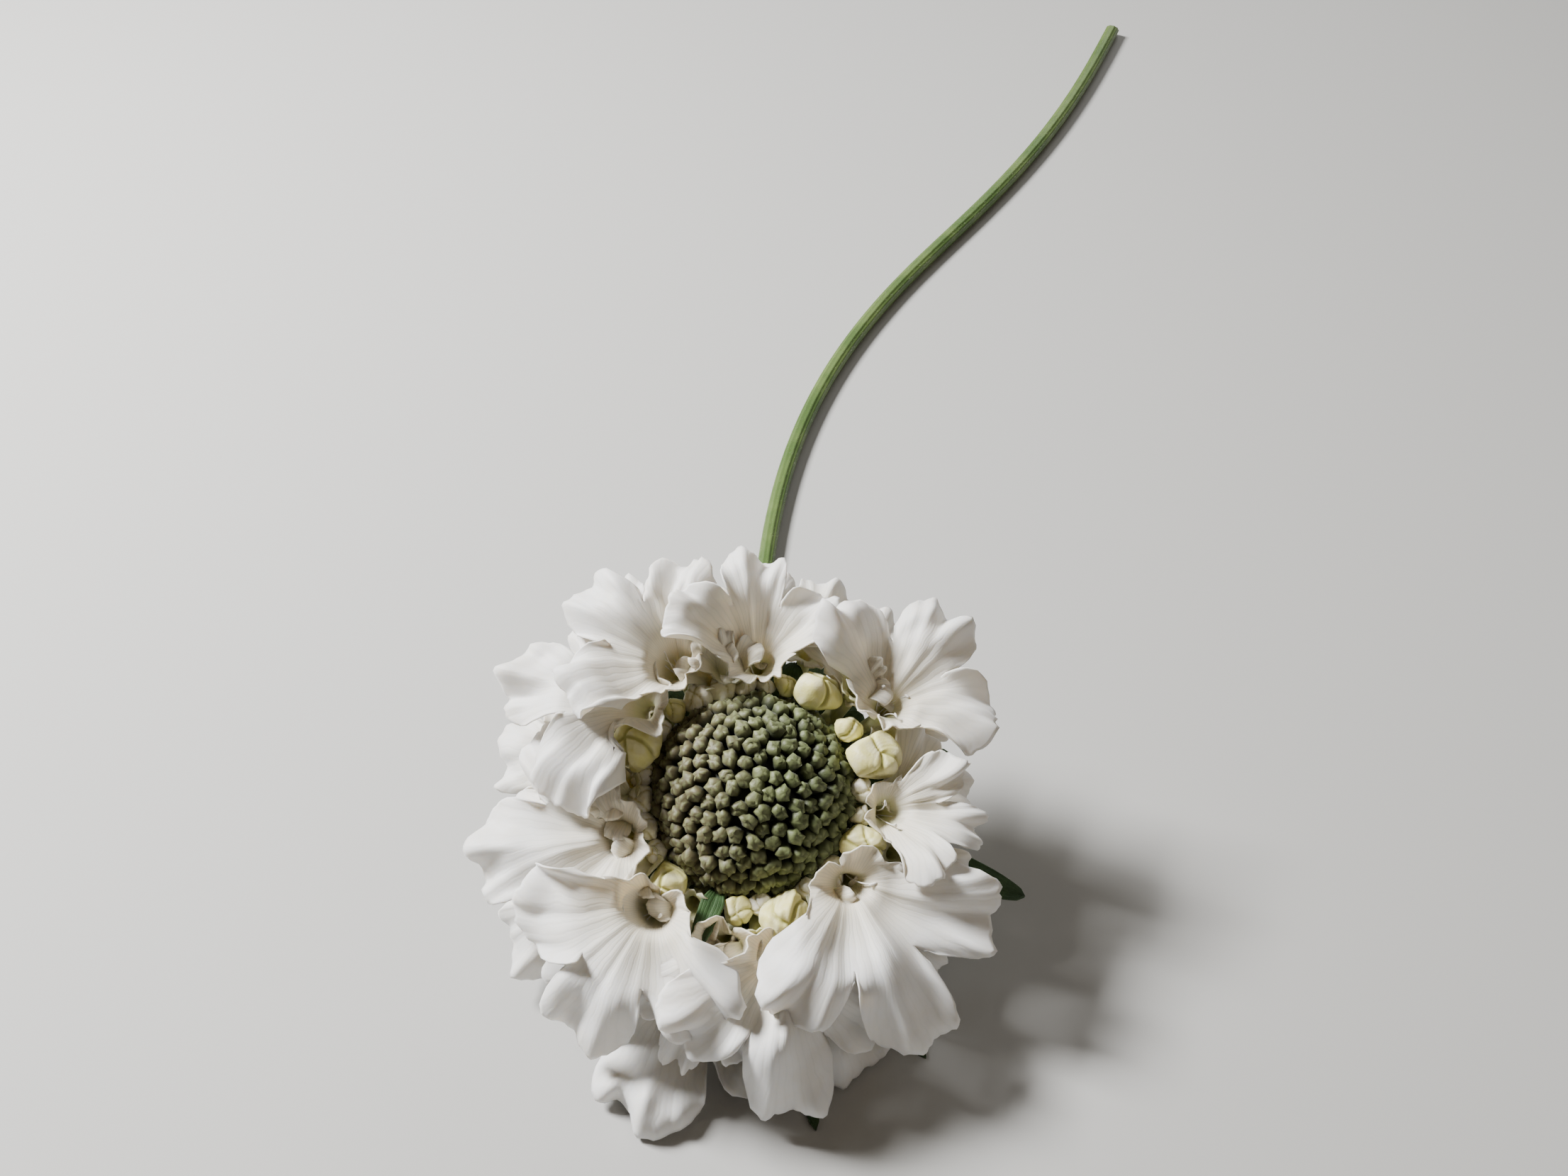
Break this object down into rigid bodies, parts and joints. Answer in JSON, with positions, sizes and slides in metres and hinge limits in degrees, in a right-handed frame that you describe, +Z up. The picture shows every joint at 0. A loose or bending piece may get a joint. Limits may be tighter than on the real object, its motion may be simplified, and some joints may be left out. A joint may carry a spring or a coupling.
{
  "type": "cut scabiosa flower",
  "caption": "Cut scabiosa stem with a ruffled white flower head, a dome of green disc buds, cream side buds and green bracts, lying on its front petals and stem.",
  "frame": {"origin": "on the table under the middle of the whole flower", "axes": "+Z up from the table it lies on, +Y along the stem from the head to the cut end, the face of the head turned up and towards -Y"},
  "size_m": [0.1559, 0.3721, 0.0513],
  "materials": {
    "stem_green": "satin",
    "bract_green": "satin",
    "petal_white": "matte",
    "bud_cream": "matte",
    "disc_green": "matte"
  },
  "bodies": {
    "root": {"stem": "stem_green", "involucre": "bract_green", "ray_florets": "petal_white", "cream_florets": "bud_cream", "disc_florets": "disc_green"}
  },
  "joints": []
}
